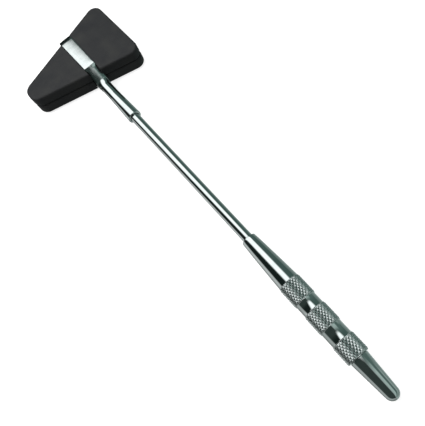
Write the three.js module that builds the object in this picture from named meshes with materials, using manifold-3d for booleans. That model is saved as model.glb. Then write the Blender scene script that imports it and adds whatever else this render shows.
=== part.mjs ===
// Triangular reflex hammer with a knurled screw-tail handle, in millimetres, +Z up.
// +Y runs along the handle towards the head's outer end, so the tail points to -Y.
// -X is the head's narrow end and +X is its flat broad end. The origin is the middle
// of the strap's underside, straight below the crossing of the handle's axis and the
// head's centre line.
import * as THREE from 'three';
import { mergeVertices } from 'three/addons/utils/BufferGeometryUtils.js';
import Module from 'manifold-3d';

// Rubber head
const HEAD_NARROW_REACH = 28.7;
const HEAD_BROAD_REACH = 21.8;
const HEAD_NARROW_WIDTH = 8.8;
const HEAD_BROAD_WIDTH = 39.4;
const HEAD_THICKNESS = 10.5;
const NARROW_CORNER_RADIUS = 4.6;
const BROAD_CORNER_RADIUS = 4.0;
const HEAD_EDGE_ROUND = 1.4;
const WAIST_HALF_OVERLAP = 0.3;

// Strap round the head
const STRAP_THICKNESS = 0.9;
const STRAP_FOLD_WIDTH = 6.0;
const STRAP_NECK_WIDTH = 5.2;
const STRAP_CHANNEL_DEPTH = 0.5;
const FOLD_REACH = 14.4;
const FOLD_LENGTH = 4.2;
const FOLD_DROP = 2.2;
const CREASE_REACH = 8.6;
const SCOOP_LENGTH = 10.6;
const SCOOP_BEND_LENGTH = 3.0;

// Neck socket
const NECK_LENGTH = 22.4;
const NECK_STRAIGHT_LENGTH = 6.5;
const NECK_FRONT_WALL = 0.35;
const NECK_END_WALL = 0.8;
const TONGUE_LENGTH = 5.4;
const TONGUE_ROOT = 1.0;
const TONGUE_THICKNESS = 2.6;
const TONGUE_WIDTH = 4.4;
const NECK_SOCKET_DEPTH = 13.0;

// Rod
const ROD_DIAMETER = 4.0;
const ROD_EXPOSED_LENGTH = 73.7;
const ROD_END_CHAMFER = 0.4;

// Handle grip
const CONE_LENGTH = 21.4;
const CONE_FRONT_WALL = 0.65;
const CONE_BACK_DIAMETER = 8.0;
const CONE_SWELL = 0.8;
const BAND_LENGTHS = [8.1, 7.5, 7.1];
const BAND_DIAMETER = 8.6;
const GROOVE_LENGTHS = [4.3, 5.3];
const GROOVE_DIAMETER = 7.85;
const BAND_CHAMFER = 0.25;
const GRIP_SOCKET_DEPTH = 13.0;

// Tail cap
const TAIL_LENGTH = 16.0;
const TAIL_FRONT_DIAMETER = 6.85;
const TAIL_BACK_DIAMETER = 5.0;
const SPIGOT_DIAMETER = 5.7;
const SPIGOT_LENGTH = 6.5;
const STEM_SOCKET_DEPTH = 8.0;

// Brush carried by the tail cap
const STEM_DIAMETER = 2.4;
const STEM_LENGTH = 22.0;
const FERRULE_LENGTH = 9.0;
const FERRULE_WALL = 0.35;
const STEM_IN_FERRULE = 4.0;
const BRISTLE_ROOT_LENGTH = 4.0;
const BRISTLE_FREE_LENGTH = 10.0;
const BRISTLE_TIP_DIAMETER = 3.4;
const BRISTLE_FLARE_SHARE = 0.7;
const BRUSH_END_SPACE = 2.0;

// Fits
const RADIAL_CLEARANCE = 0.15;
const SEAT_GAP = 0.2;
const BORE_SIDE_CLEARANCE = 0.5;

// Facets
const TURNED_SEGMENTS = 40;
const CORNER_SEGMENTS = 10;
const BEND_SEGMENTS = 6;
const DOME_SEGMENTS = 7;
const CONE_SEGMENTS = 6;

// Places that follow from the sizes. "Back" distances run from the head's centre line
// towards the tail, along the handle's axis.
const strapInnerHalfHeight = HEAD_THICKNESS / 2 - STRAP_CHANNEL_DEPTH + SEAT_GAP;
const strapOuterHalfHeight = strapInnerHalfHeight + STRAP_THICKNESS;
const axisHeight = strapOuterHalfHeight;
const neckFrontBack = CREASE_REACH + SCOOP_LENGTH;
const neckEndBack = neckFrontBack + NECK_LENGTH;
const gripFrontBack = neckEndBack + ROD_EXPOSED_LENGTH;
const firstBandBack = gripFrontBack + CONE_LENGTH;
const gripEndBack = firstBandBack
  + BAND_LENGTHS.reduce((total, length) => total + length, 0)
  + GROOVE_LENGTHS.reduce((total, length) => total + length, 0);
const tailTipBack = gripEndBack + TAIL_LENGTH;
const stemDeepBack = gripEndBack + STEM_SOCKET_DEPTH - SPIGOT_LENGTH;
const stemFrontBack = stemDeepBack - STEM_LENGTH;
const ferruleEndBack = stemFrontBack + STEM_IN_FERRULE;
const ferruleFrontBack = ferruleEndBack - FERRULE_LENGTH;
const bristleRootBack = ferruleFrontBack + BRISTLE_ROOT_LENGTH;
const bristleTipBack = ferruleFrontBack - BRISTLE_FREE_LENGTH;
const brushBoreEndBack = bristleTipBack - BRUSH_END_SPACE;
const ferruleDiameter = STEM_DIAMETER + 2 * (RADIAL_CLEARANCE + FERRULE_WALL);
const brushBoreDiameter = Math.max(ferruleDiameter, BRISTLE_TIP_DIAMETER) + 2 * BORE_SIDE_CLEARANCE;

const wasm = await Module();
wasm.setup();

function solidOf(geometry) {
  const bare = geometry.index ? geometry.toNonIndexed() : geometry.clone();
  bare.deleteAttribute('normal');
  bare.deleteAttribute('uv');
  const merged = mergeVertices(bare, 1e-4);
  return new wasm.Manifold(new wasm.Mesh({
    numProp: 3,
    vertProperties: new Float32Array(merged.attributes.position.array),
    triVerts: new Uint32Array(merged.index.array),
  }));
}

function geometryOf(solid) {
  const mesh = solid.getMesh();
  const geometry = new THREE.BufferGeometry();
  geometry.setAttribute('position', new THREE.BufferAttribute(mesh.vertProperties, mesh.numProp));
  geometry.setIndex(new THREE.BufferAttribute(mesh.triVerts, 1));
  return geometry;
}

// A solid of revolution about Y. Each profile point is [radius, distance back from the head].
// The profile runs from the axis out at the tail side and back to the axis at the head side.
function turned(profile) {
  const points = profile.map(([radius, back]) => new THREE.Vector2(radius, -back));
  return new THREE.LatheGeometry(points, TURNED_SEGMENTS);
}

function extrudedAlongX(outline, width) {
  const shape = new THREE.Shape(outline.map(([y, z]) => new THREE.Vector2(y, z)));
  const geometry = new THREE.ExtrudeGeometry(shape, { depth: width, bevelEnabled: false });
  geometry.translate(0, 0, -width / 2);
  const cycleAxes = new THREE.Matrix4().set(0, 0, 1, 0, 1, 0, 0, 0, 0, 1, 0, 0, 0, 0, 0, 1);
  return geometry.applyMatrix4(cycleAxes);
}

// A closed outline with a rounded corner at each [x, y, radius] entry.
function roundedOutline(corners) {
  const shape = new THREE.Shape();
  const count = corners.length;
  corners.forEach(([x, y, radius], index) => {
    const corner = new THREE.Vector2(x, y);
    const [beforeX, beforeY] = corners[(index + count - 1) % count];
    const [afterX, afterY] = corners[(index + 1) % count];
    const toBefore = new THREE.Vector2(beforeX, beforeY).sub(corner).normalize();
    const toAfter = new THREE.Vector2(afterX, afterY).sub(corner).normalize();
    const halfAngle = Math.acos(toBefore.dot(toAfter)) / 2;
    const setback = radius / Math.tan(halfAngle);
    const middle = toBefore.clone().add(toAfter).normalize();
    const centre = corner.clone().addScaledVector(middle, radius / Math.sin(halfAngle));
    const first = corner.clone().addScaledVector(toBefore, setback).sub(centre);
    const last = corner.clone().addScaledVector(toAfter, setback).sub(centre);
    shape.absarc(centre.x, centre.y, radius, first.angle(), last.angle(), false);
  });
  return shape;
}

function headHalfWidthAt(x) {
  const share = (x + HEAD_NARROW_REACH) / (HEAD_NARROW_REACH + HEAD_BROAD_REACH);
  return (HEAD_NARROW_WIDTH + (HEAD_BROAD_WIDTH - HEAD_NARROW_WIDTH) * share) / 2;
}

function strapHalfWidthAt(y) {
  const share = THREE.MathUtils.clamp((FOLD_REACH - y) / (FOLD_REACH + neckFrontBack), 0, 1);
  return (STRAP_FOLD_WIDTH + (STRAP_NECK_WIDTH - STRAP_FOLD_WIDTH) * share) / 2;
}

// Gives an extrusion of unit width the strap's own width at each point along the handle.
function taperToStrap(geometry, sideGap) {
  const position = geometry.attributes.position;
  for (let i = 0; i < position.count; i += 1) {
    const halfWidth = strapHalfWidthAt(position.getY(i)) + sideGap;
    position.setX(i, 2 * position.getX(i) * halfWidth);
  }
  return geometry;
}

// The fold's bend on the upper (side 1) or lower (side -1) leg, this far inside its outer face.
function foldBend(inset, side) {
  return new THREE.EllipseCurve(
    FOLD_REACH - FOLD_LENGTH, side * (strapOuterHalfHeight - FOLD_DROP),
    FOLD_LENGTH - inset, FOLD_DROP - inset,
    side > 0 ? 0 : -Math.PI / 2, side > 0 ? Math.PI / 2 : 0, false,
  );
}

// The strap's middle line from the outer fold over the top to its end on the tongue.
// Heights are above the handle's axis.
function strapUpperLine() {
  const flatHeight = strapInnerHalfHeight + STRAP_THICKNESS / 2;
  const endHeight = TONGUE_THICKNESS / 2 + SEAT_GAP + STRAP_THICKNESS / 2;
  const foldArc = foldBend(STRAP_THICKNESS / 2, 1);
  const crease = new THREE.Vector2(-CREASE_REACH, flatHeight);
  const scoopEnd = new THREE.Vector2(-neckFrontBack + SEAT_GAP, endHeight);
  const bendMiddle = new THREE.Vector2(scoopEnd.x + SCOOP_BEND_LENGTH / 2, scoopEnd.y);
  const bendStart = bendMiddle.clone().add(
    crease.clone().sub(bendMiddle).setLength(SCOOP_BEND_LENGTH / 2),
  );
  const scoopBend = new THREE.QuadraticBezierCurve(bendStart, bendMiddle, scoopEnd);
  return [...foldArc.getPoints(BEND_SEGMENTS), crease, ...scoopBend.getPoints(BEND_SEGMENTS)];
}

// A strip of even thickness whose middle runs through the given points.
function ribbonOutline(points, thickness) {
  const offsetSide = (side) => points.map((point, index) => {
    const before = points[Math.max(index - 1, 0)];
    const after = points[Math.min(index + 1, points.length - 1)];
    const incoming = point.clone().sub(before);
    const outgoing = after.clone().sub(point);
    if (index === 0) incoming.copy(outgoing);
    if (index === points.length - 1) outgoing.copy(incoming);
    incoming.normalize();
    outgoing.normalize();
    const along = incoming.clone().add(outgoing).normalize();
    const mitre = 1 / along.dot(outgoing);
    const reach = side * thickness / 2 * mitre;
    return [point.x - along.y * reach, point.y + along.x * reach];
  });
  return [...offsetSide(1), ...offsetSide(-1).reverse()];
}

function rubberHead() {
  const corners = [
    [-HEAD_NARROW_REACH, -HEAD_NARROW_WIDTH / 2, NARROW_CORNER_RADIUS],
    [HEAD_BROAD_REACH, -HEAD_BROAD_WIDTH / 2, BROAD_CORNER_RADIUS],
    [HEAD_BROAD_REACH, HEAD_BROAD_WIDTH / 2, BROAD_CORNER_RADIUS],
    [-HEAD_NARROW_REACH, HEAD_NARROW_WIDTH / 2, NARROW_CORNER_RADIUS],
  ];
  const lobeThickness = HEAD_THICKNESS / 2 + WAIST_HALF_OVERLAP;
  const lobe = new THREE.ExtrudeGeometry(roundedOutline(corners), {
    depth: lobeThickness - 2 * HEAD_EDGE_ROUND,
    bevelThickness: HEAD_EDGE_ROUND,
    bevelSize: HEAD_EDGE_ROUND,
    bevelOffset: -HEAD_EDGE_ROUND,
    bevelSegments: 3,
    curveSegments: CORNER_SEGMENTS,
  });
  lobe.translate(0, 0, HEAD_EDGE_ROUND - WAIST_HALF_OVERLAP);
  const upper = solidOf(lobe);
  const both = upper.add(upper.mirror([0, 0, 1]));
  return both.subtract(strapChannel()).translate([0, 0, axisHeight]);
}

// What the rubber gives way to: the strap's width, less the rubber kept inside its loop.
function strapChannel() {
  const coreHalfHeight = HEAD_THICKNESS / 2 - STRAP_CHANNEL_DEPTH;
  const coreBack = CREASE_REACH - STRAP_THICKNESS;
  const coreOutline = [
    ...foldBend(STRAP_THICKNESS + SEAT_GAP, -1).getPoints(BEND_SEGMENTS),
    ...foldBend(STRAP_THICKNESS + SEAT_GAP, 1).getPoints(BEND_SEGMENTS),
    new THREE.Vector2(-coreBack, coreHalfHeight),
    new THREE.Vector2(-coreBack, -coreHalfHeight),
  ].map((point) => [point.x, point.y]);
  const reach = headHalfWidthAt(HEAD_BROAD_REACH);
  const outside = [[-reach, -reach], [reach, -reach], [reach, reach], [-reach, reach]];
  const block = solidOf(taperToStrap(extrudedAlongX(outside, 1), SEAT_GAP));
  const kept = solidOf(extrudedAlongX(coreOutline, 2 * STRAP_FOLD_WIDTH));
  return block.subtract(kept);
}

function headStrap() {
  const upper = strapUpperLine();
  const lower = upper.map((point) => new THREE.Vector2(point.x, -point.y)).reverse();
  const strip = extrudedAlongX(ribbonOutline([...lower, ...upper], STRAP_THICKNESS), 1);
  return solidOf(taperToStrap(strip, 0)).translate([0, 0, axisHeight]);
}

function neckSocket() {
  const boreRadius = ROD_DIAMETER / 2 + RADIAL_CLEARANCE;
  const frontRadius = boreRadius + NECK_FRONT_WALL;
  const endRadius = boreRadius + NECK_END_WALL;
  const body = solidOf(turned([
    [0, neckEndBack - NECK_SOCKET_DEPTH],
    [boreRadius, neckEndBack - NECK_SOCKET_DEPTH],
    [boreRadius, neckEndBack],
    [endRadius - BAND_CHAMFER, neckEndBack],
    [endRadius, neckEndBack - BAND_CHAMFER],
    [frontRadius, neckFrontBack + NECK_STRAIGHT_LENGTH],
    [frontRadius, neckFrontBack],
    [0, neckFrontBack],
  ]));
  const tongue = new THREE.BoxGeometry(TONGUE_WIDTH, TONGUE_LENGTH + TONGUE_ROOT, TONGUE_THICKNESS);
  tongue.translate(0, -neckFrontBack + (TONGUE_LENGTH - TONGUE_ROOT) / 2, 0);
  return body.add(solidOf(tongue)).translate([0, 0, axisHeight]);
}

function shaftRod() {
  const radius = ROD_DIAMETER / 2;
  const front = neckEndBack - NECK_SOCKET_DEPTH + SEAT_GAP;
  const back = gripFrontBack + GRIP_SOCKET_DEPTH - SEAT_GAP;
  return solidOf(turned([
    [0, back],
    [radius - ROD_END_CHAMFER, back],
    [radius, back - ROD_END_CHAMFER],
    [radius, front + ROD_END_CHAMFER],
    [radius - ROD_END_CHAMFER, front],
    [0, front],
  ])).translate([0, 0, axisHeight]);
}

// The outside of the knurled part, tail end first, as [radius, back] points.
function bandProfile() {
  const bandRadius = BAND_DIAMETER / 2;
  const grooveRadius = GROOVE_DIAMETER / 2;
  const points = [];
  let bandBack = firstBandBack;
  BAND_LENGTHS.forEach((length, index) => {
    points.push([bandRadius - BAND_CHAMFER, bandBack]);
    points.push([bandRadius, bandBack + BAND_CHAMFER]);
    points.push([bandRadius, bandBack + length - BAND_CHAMFER]);
    points.push([bandRadius - BAND_CHAMFER, bandBack + length]);
    bandBack += length;
    if (index < GROOVE_LENGTHS.length) {
      points.push([grooveRadius, bandBack]);
      bandBack += GROOVE_LENGTHS[index];
      points.push([grooveRadius, bandBack]);
    }
  });
  return points.reverse();
}

function coneProfile() {
  const front = ROD_DIAMETER / 2 + RADIAL_CLEARANCE + CONE_FRONT_WALL;
  const back = CONE_BACK_DIAMETER / 2;
  const points = [];
  for (let i = CONE_SEGMENTS; i >= 1; i -= 1) {
    const share = i / CONE_SEGMENTS;
    points.push([front + (back - front) * share ** CONE_SWELL, gripFrontBack + CONE_LENGTH * share]);
  }
  points.push([front, gripFrontBack + BAND_CHAMFER]);
  points.push([front - BAND_CHAMFER, gripFrontBack]);
  return points;
}

function handleGrip() {
  const threadRadius = SPIGOT_DIAMETER / 2 + RADIAL_CLEARANCE;
  const threadDepth = SPIGOT_LENGTH + SEAT_GAP;
  const brushBoreRadius = brushBoreDiameter / 2;
  const rodBoreRadius = ROD_DIAMETER / 2 + RADIAL_CLEARANCE;
  return solidOf(turned([
    [0, brushBoreEndBack],
    [brushBoreRadius, brushBoreEndBack],
    [brushBoreRadius, gripEndBack - threadDepth],
    [threadRadius, gripEndBack - threadDepth],
    [threadRadius, gripEndBack],
    ...bandProfile(),
    ...coneProfile(),
    [rodBoreRadius, gripFrontBack],
    [rodBoreRadius, gripFrontBack + GRIP_SOCKET_DEPTH],
    [0, gripFrontBack + GRIP_SOCKET_DEPTH],
  ])).translate([0, 0, axisHeight]);
}

function tailCap() {
  const shoulder = gripEndBack + SEAT_GAP;
  const domeRadius = TAIL_BACK_DIAMETER / 2;
  const domeBack = tailTipBack - domeRadius;
  const stemSocketRadius = STEM_DIAMETER / 2 + RADIAL_CLEARANCE;
  const spigotFront = gripEndBack - SPIGOT_LENGTH;
  const dome = [];
  for (let i = 0; i <= DOME_SEGMENTS; i += 1) {
    const angle = (Math.PI / 2) * (i / DOME_SEGMENTS);
    dome.push([domeRadius * Math.sin(angle), domeBack + domeRadius * Math.cos(angle)]);
  }
  return solidOf(turned([
    ...dome,
    [TAIL_FRONT_DIAMETER / 2, shoulder],
    [SPIGOT_DIAMETER / 2, shoulder],
    [SPIGOT_DIAMETER / 2, spigotFront],
    [stemSocketRadius, spigotFront],
    [stemSocketRadius, spigotFront + STEM_SOCKET_DEPTH + SEAT_GAP],
    [0, spigotFront + STEM_SOCKET_DEPTH + SEAT_GAP],
  ])).translate([0, 0, axisHeight]);
}

function brushStem() {
  const radius = STEM_DIAMETER / 2;
  return solidOf(turned([
    [0, stemDeepBack],
    [radius, stemDeepBack],
    [radius, stemFrontBack],
    [0, stemFrontBack],
  ])).translate([0, 0, axisHeight]);
}

function brushFerrule() {
  const outer = ferruleDiameter / 2;
  const inner = outer - FERRULE_WALL;
  return solidOf(turned([
    [inner, ferruleFrontBack],
    [inner, ferruleEndBack],
    [outer, ferruleEndBack],
    [outer, ferruleFrontBack],
    [inner, ferruleFrontBack],
  ])).translate([0, 0, axisHeight]);
}

function brushBristles() {
  const rootRadius = STEM_DIAMETER / 2;
  const tipRadius = BRISTLE_TIP_DIAMETER / 2;
  return solidOf(turned([
    [0, bristleRootBack],
    [rootRadius, bristleRootBack],
    [rootRadius, ferruleFrontBack],
    [tipRadius, ferruleFrontBack - BRISTLE_FREE_LENGTH * BRISTLE_FLARE_SHARE],
    [tipRadius, bristleTipBack],
    [0, bristleTipBack],
  ])).translate([0, 0, axisHeight]);
}

const finishes = {
  rubber: { color: 0x26262a, roughness: 0.7, metalness: 0 },
  chrome: { color: 0xd9dddd, roughness: 0.08, metalness: 1 },
  brass: { color: 0xc9a45a, roughness: 0.3, metalness: 1 },
  bristle: { color: 0xe9e3d2, roughness: 0.8, metalness: 0 },
};

const pieces = [
  ['rubber_head', rubberHead, 'rubber'],
  ['head_strap', headStrap, 'chrome'],
  ['neck_socket', neckSocket, 'chrome'],
  ['shaft_rod', shaftRod, 'chrome'],
  ['handle_grip', handleGrip, 'chrome'],
  ['tail_cap', tailCap, 'chrome'],
  ['brush_stem', brushStem, 'brass'],
  ['brush_ferrule', brushFerrule, 'brass'],
  ['brush_bristles', brushBristles, 'bristle'],
];

const hammer = new THREE.Group();
pieces.forEach(([name, build, finish]) => {
  const material = new THREE.MeshStandardMaterial(finishes[finish]);
  const mesh = new THREE.Mesh(geometryOf(build()), material);
  mesh.name = name;
  hammer.add(mesh);
});

export default hammer;
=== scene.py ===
"""Looks of a reflex hammer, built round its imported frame, in metres.

The frame: +Y runs along the handle towards the strap's fold, +X from the head's narrow end
to its broad end, +Z is up. The handle's axis is level, and every turned piece turns about it.
"back" is a distance from the head's centre line towards the tail.
"""

import math
import random

import bpy
from mathutils import Matrix, Quaternion, Vector


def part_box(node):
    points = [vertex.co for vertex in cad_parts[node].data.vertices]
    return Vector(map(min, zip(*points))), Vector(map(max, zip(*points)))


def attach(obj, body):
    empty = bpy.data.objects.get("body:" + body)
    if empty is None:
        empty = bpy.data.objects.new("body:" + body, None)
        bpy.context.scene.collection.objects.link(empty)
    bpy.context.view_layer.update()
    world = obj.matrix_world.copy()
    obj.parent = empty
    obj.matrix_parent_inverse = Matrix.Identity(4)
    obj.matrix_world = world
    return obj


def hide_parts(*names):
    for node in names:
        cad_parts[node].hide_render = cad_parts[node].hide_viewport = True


MM = 0.001

# Rubber head
HEAD_NARROW_WIDTH = 8.8 * MM
HEAD_BROAD_WIDTH = 39.4 * MM
HEAD_THICKNESS = 10.5 * MM
NARROW_CORNER_RADIUS = 4.6 * MM
BROAD_CORNER_RADIUS = 4.0 * MM
HEAD_EDGE_ROUND = 0.9 * MM
WAIST_ROUND = 1.4 * MM
WAIST_HALF_OVERLAP = 0.12 * MM
HEAD_CORNER_STEPS = 14
HEAD_SIDE_STEPS = 24
HEAD_EDGE_STEPS = 8
CHANNEL_SIDE_GAP = 0.06 * MM
CHANNEL_REACH = 8.0 * MM

# Strap
STRAP_THICKNESS = 0.9 * MM
STRAP_FOLD_WIDTH = 6.0 * MM
STRAP_NECK_WIDTH = 5.2 * MM
STRAP_EDGE_ROUND = 0.22 * MM
STRAP_CROWN = 0.1 * MM
FOLD_LENGTH = 4.2 * MM
FOLD_DROP = 2.2 * MM
FOLD_STEPS = 16
FLAT_STEPS = 12
CORE_FLAT_STEPS = 8
CREASE_BACK = 8.6 * MM
CREASE_ROUND = 0.35 * MM
CREASE_STEPS = 4
SCOOP_BEND_LENGTH = 3.0 * MM
SCOOP_STEPS = 24
SCOOP_BEND_STEPS = 16
SCOOP_ROUNDNESS = 0.4
SCOOP_ROUNDING_LENGTH = 1.6 * MM
SCOOP_BALL_MARGIN = 0.08 * MM
STRAP_ACROSS_STEPS = 16
STRAP_EDGE_STEPS = 4
STRAP_EDGE_SHARE = 0.4
STRAP_TIGHT_GAP = 0.02 * MM
SEAT_GAP = 0.2 * MM

# Neck and rod
NECK_FRONT_RADIUS = 2.5 * MM
NECK_END_RADIUS = 2.95 * MM
NECK_STRAIGHT_LENGTH = 6.5 * MM
NECK_EDGE_ROUND = 0.22 * MM
NECK_SHOULDER_ROUND = 2.0 * MM
TONGUE_RADIUS = 1.4 * MM
TONGUE_LENGTH = 5.0 * MM
SOCKET_DEPTH = 13.0 * MM
SOCKET_CLEARANCE = 0.06 * MM
SOCKET_LIP = 0.3 * MM
SOCKET_LIP_FLARE = 0.18 * MM
ROD_RADIUS = 2.0 * MM
ROD_END_CHAMFER = 0.4 * MM

# Handle grip
CONE_LENGTH = 21.4 * MM
CONE_FRONT_RADIUS = 2.8 * MM
CONE_BACK_RADIUS = 4.0 * MM
CONE_SWELL = 0.8
CONE_STEPS = 24
BAND_LENGTHS = [8.1 * MM, 7.5 * MM, 7.1 * MM]
GROOVE_LENGTHS = [4.3 * MM, 5.3 * MM]
BAND_RADIUS = 4.3 * MM
GROOVE_RADIUS = 3.925 * MM
GROOVE_FILLET = 0.18 * MM
BAND_CHAMFER = 0.22 * MM
KNURL_STARTS = 24
KNURL_STEPS_PER_HALF_CELL = 2
KNURL_DEPTH = 0.24 * MM
KNURL_WEAR = 0.24
KNURL_WEAR_MARGIN = 0.02 * MM
KNURL_HELIX = math.radians(36)
BRUSH_BORE_RADIUS = 2.2 * MM
BRUSH_END_SPACE = 2.0 * MM
THREAD_BORE_RADIUS = 3.0 * MM

# Tail cap
TAIL_FRONT_RADIUS = 3.425 * MM
TAIL_BACK_RADIUS = 2.5 * MM
TAIL_EDGE_ROUND = 0.25 * MM
TAIL_SHOULDER_GAP = 0.08 * MM
DOME_STEPS = 16
SPIGOT_RADIUS = 2.82 * MM
SPIGOT_LENGTH = 6.5 * MM
THREAD_PITCH = 0.6 * MM
THREAD_DEPTH = 0.26 * MM
THREAD_RINGS_PER_PITCH = 6
STEM_SOCKET_DEPTH = 8.0 * MM

# Brush
STEM_RADIUS = 1.2 * MM
STEM_RING_RADIUS = 1.05 * MM
STEM_RING_LENGTH = 0.5 * MM
STEM_RING_ROUND = 0.1 * MM
STEM_RING_PLACES = [0.5, 0.58, 0.66]
STEM_END_ROUND = 0.2 * MM
FERRULE_WALL = 0.35 * MM
FERRULE_INNER_RADIUS = 1.36 * MM
FERRULE_EDGE_ROUND = 0.15 * MM
CRIMP_DEPTH = 0.14 * MM
CRIMP_HALF_LENGTH = 0.5 * MM
CRIMP_ROUND = 0.3 * MM
CRIMP_PLACES = [0.8, 0.45, 0.3]
BRISTLE_COUNT = 150
BRISTLE_RADIUS = 0.07 * MM
BRISTLE_SIDES = 5
BRISTLE_STEPS = 6
BRISTLE_SPREAD = 1.116
BRISTLE_PACKING_MARGIN = 0.15 * MM
BRISTLE_LEAN = 0.12
BRISTLE_OPENING_RATE = 1.4
BRISTLE_OPENING_DELAY = 0.4
BRISTLE_OPENING_CURVE = 1.3
BRISTLE_TAPER = 0.45
BRISTLE_LENGTH_SCATTER = 0.8 * MM
BRISTLE_SEED = 11

TURNED_SEGMENTS = 96
BRUSH_SEGMENTS = 48
FILLET_STEPS = 4
FILLET_REACH = 0.45
EVEN_RADII = 1e-9
SMOOTH_ANGLE = math.radians(28)

# Materials: tones are (place on the ramp, colour), and roughness runs from one to the other
CHROME_TONES = [(0.3, (0.5, 0.53, 0.525)), (0.7, (0.57, 0.595, 0.59))]
POLISH_STRETCH = (1, 0.12, 1)
SCRATCH_STRETCH = (1, 0.05, 1)
SCRATCH_DEPTH = 0.0012 * MM
STRAP_WAVINESS = 0.008 * MM
STRAP_ROUGHNESS = (0.06, 0.16)
HANDLE_WAVINESS = 0.004 * MM
HANDLE_ROUGHNESS = (0.04, 0.1)
RUBBER_TONES = [
    (0.25, (0.017, 0.0176, 0.0196)),
    (0.5, (0.0225, 0.023, 0.0238)),
    (0.75, (0.029, 0.0296, 0.0284)),
]
RUBBER_ROUGHNESS = (0.5, 0.68)
RUBBER_SPECULAR = 0.2
RUBBER_CLOUD_DEPTH = 0.05 * MM
RUBBER_GRAIN_DEPTH = 0.02 * MM
RUBBER_PORE_DEPTH = 0.012 * MM
BRASS_TONES = [(0.3, (0.62, 0.43, 0.19)), (0.7, (0.84, 0.66, 0.34))]
BRASS_ROUGHNESS = (0.34, 0.18)
BRASS_LINE_STRETCH = (0.1, 1, 0.1)
BRASS_LINE_DEPTH = 0.004 * MM
BRISTLE_TONES = [(0.3, (0.62, 0.56, 0.44)), (0.7, (0.88, 0.84, 0.75))]
BRISTLE_STRETCH = (1, 0.1, 1)
BRISTLE_ROUGHNESS = (0.45, 0.6)
BRISTLE_SHEEN = 0.3

# Camera
LENS_TARGET = Vector((-3.24, -98.26, 5.85)) * MM
CAMERA_DISTANCE = 186.14 * MM
CAMERA_HEADING = math.radians(9.384)
CAMERA_ELEVATION = math.radians(65.38)
CAMERA_ROLL = math.radians(-32.2)
CAMERA_LENS = 42.25
CAMERA_SENSOR = 36.0
CAMERA_FAR = 20.0

# Floor and light
FLOOR_HALF_SIZE = 6.0
FLOOR_COLOUR = (0.45, 0.45, 0.45, 1)
FLOOR_ROUGHNESS = 0.9
FLOOR_GLOW = 0.78
DIFFUSE_SKY = 0.36
DIFFUSE_GROUND = 0.08
DIFFUSE_HORIZON = (-0.1, 0.2)
SOFTBOX_POWER = 3.0
SOFTBOX_SIZE = 0.5
SOFTBOX_PLACE = Vector((-0.1, 0.1, 0.42))

# The studio that the chrome shows. Rolls and lifts are in degrees. A pair is where a part
# starts to show and where it shows in full. Where a part has an edge, its rolls are its two
# sides instead, and the edge is how far its soft border reaches to either side of them.
WINDOW_LEFT = 5.5
WINDOW_LEFT_SLOPE = -1.35
WINDOW_RIGHT = 20
WINDOW_RIGHT_SLOPE = 0.35
WINDOW_WIDENING = 10
WINDOW_WIDENING_LIFTS = (26, 38)
WINDOW_EDGE = 9
WINDOW_LIFTS = (3, 10)
WINDOW_TOP_HEIGHTS = (0.56, 0.685)
WINDOW_TOP_SLOPE = -0.004
WINDOW_COLOUR = (1.75, 1.8, 1.8)
PANEL_ROLLS = (8, 45)
PANEL_EDGE = 5
PANEL_LIFTS = (6, -2)
PANEL_COLOUR = (0.42, 0.49, 0.47)
RIM_ROLLS = (74, 94)
RIM_EDGE = 3
RIM_LIFTS = (3, -3)
RIM_COLOUR = (0.28, 0.31, 0.3)
RIGHT_SIDE_ROLLS = (0, 40)
RIGHT_SIDE_LIFTS = (75, 50)
RIGHT_SIDE_COLOUR = (0.075, 0.128, 0.115)
TAIL_SIDE_LIFTS = (12, 4)
TAIL_SIDE_COLOUR = (0.035, 0.045, 0.042)
TABLE_LEFT_ROLLS = (-82, -96)
TABLE_LEFT_GLOW = 0.48
TABLE_BAND_ROLLS = (-126, -92)
TABLE_BAND_EDGE = 8
TABLE_BAND_GLOW = 0.33
TABLE_UNDER_ROLLS = (-140, -165)
TABLE_UNDER_GLOW = -0.13
TABLE_DIMMING_LIFTS = (20, 8)
TABLE_DIMMING = -0.35
TABLE_RIGHT_ROLLS = (86, 94)
TABLE_RIGHT_GLOW = 0.12
TABLE_FAR_RIGHT_ROLLS = (95, 150)
TABLE_FAR_RIGHT_GLOW = 0.22
TABLE_LIFTS = (60, 30)
TABLE_COLOUR = (0.96, 1, 0.99)
ROOM_COLOUR = (0.012, 0.02, 0.018)


# ---------------------------------------------------------------- meshes

def mesh_object(name, vertices, faces):
    mesh = bpy.data.meshes.new(name)
    mesh.from_pydata([tuple(v) for v in vertices], [], faces)
    mesh.validate()
    mesh.update()
    obj = bpy.data.objects.new(name, mesh)
    bpy.context.scene.collection.objects.link(obj)
    return obj


def smooth(obj, angle=SMOOTH_ANGLE):
    obj.data.shade_smooth()
    obj.data.set_sharp_from_angle(angle=angle)


def filleted(points):
    """A line through [radius, back, fillet] points, with each corner rounded to its fillet."""
    line = []
    for index, (radius, back, fillet) in enumerate(points):
        corner = Vector((radius, back))
        if not fillet or index in (0, len(points) - 1):
            line.append(corner)
            continue
        before = Vector(points[index - 1][:2]) - corner
        after = Vector(points[index + 1][:2]) - corner
        reach = min(before.length, after.length) * FILLET_REACH
        turn = before.angle(after)
        setback = min(fillet / math.tan(turn / 2), reach)
        round_radius = setback * math.tan(turn / 2)
        middle = (before.normalized() + after.normalized()).normalized()
        centre = corner + middle * (round_radius / math.sin(turn / 2))
        first = corner + before.normalized() * setback - centre
        last = corner + after.normalized() * setback - centre
        sweep = first.angle_signed(last)
        for step in range(FILLET_STEPS + 1):
            spin = Matrix.Rotation(-sweep * step / FILLET_STEPS, 2)
            line.append(centre + spin @ first)
    return line


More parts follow.
